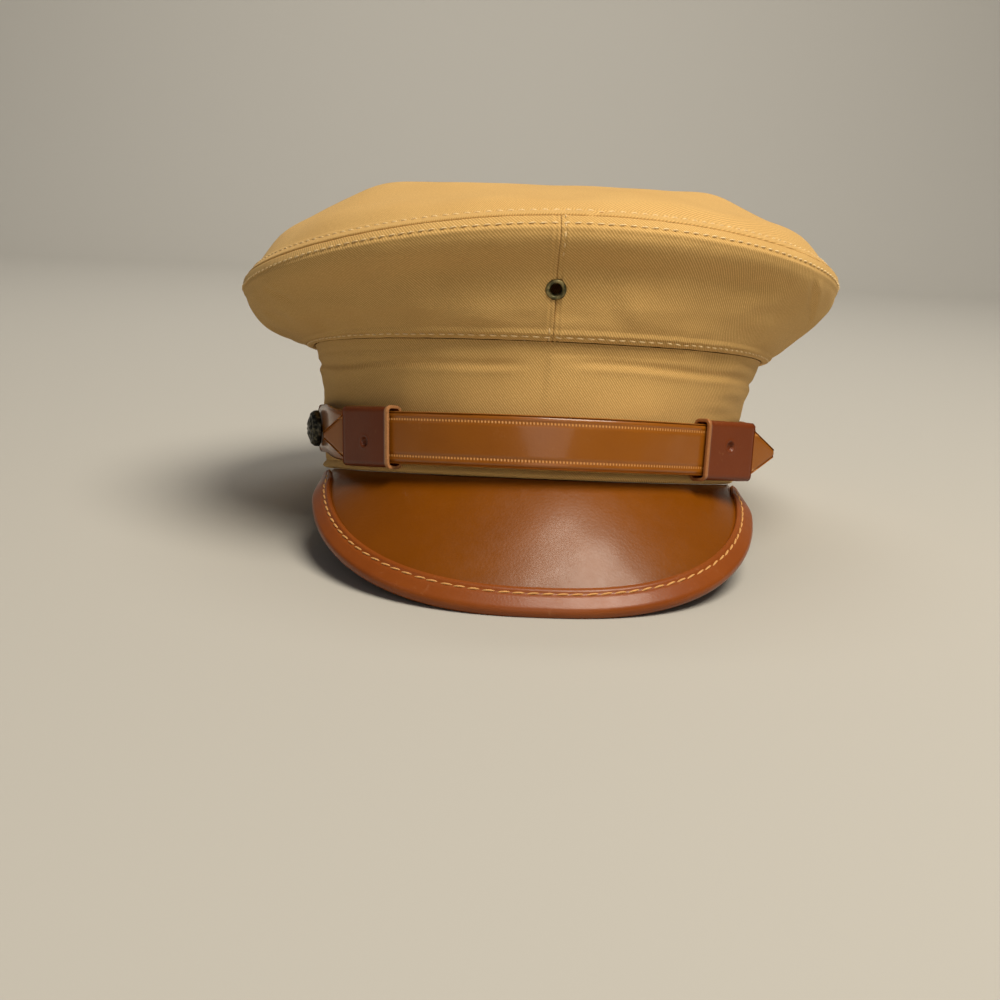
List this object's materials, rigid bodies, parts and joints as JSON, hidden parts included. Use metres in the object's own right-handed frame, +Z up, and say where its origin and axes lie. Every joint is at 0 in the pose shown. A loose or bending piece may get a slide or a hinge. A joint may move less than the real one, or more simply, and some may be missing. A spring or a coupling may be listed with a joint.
{
  "type": "peaked service cap",
  "caption": "Cloth service cap with a wide stiff crown, a sloped leather visor with a bound edge, and a buttoned leather front strap with keepers; rests by itself on visor and rear rim.",
  "frame": {"origin": "under the middle of the cap's outer box, on the surface that it rests on", "axes": "+Z up, +X to the wearer's left, +Y to the back of the cap, so that the visor points to -Y"},
  "size_m": [0.2454, 0.2828, 0.1405],
  "materials": {
    "khaki_twill": "woven cotton and wool twill, matt",
    "visor_leather": "polished",
    "binding_leather": "polished, stitched",
    "strap_leather": "polished, edges tooled with a beaded line",
    "keeper_leather": "dark and worn, raw inner edge",
    "dark_brass": "blackened with age",
    "aged_brass": "dull and tarnished"
  },
  "bodies": {
    "root": {"band": "khaki_twill", "crown_side_right": "khaki_twill", "crown_side_left": "khaki_twill", "crown_top": "khaki_twill", "front_eyelet": "aged_brass", "visor": "visor_leather", "visor_binding": "binding_leather", "under_strap": "strap_leather", "front_strap": "strap_leather", "keeper_right": "keeper_leather", "keeper_left": "keeper_leather", "button_right": "dark_brass", "button_left": "dark_brass"}
  },
  "joints": []
}
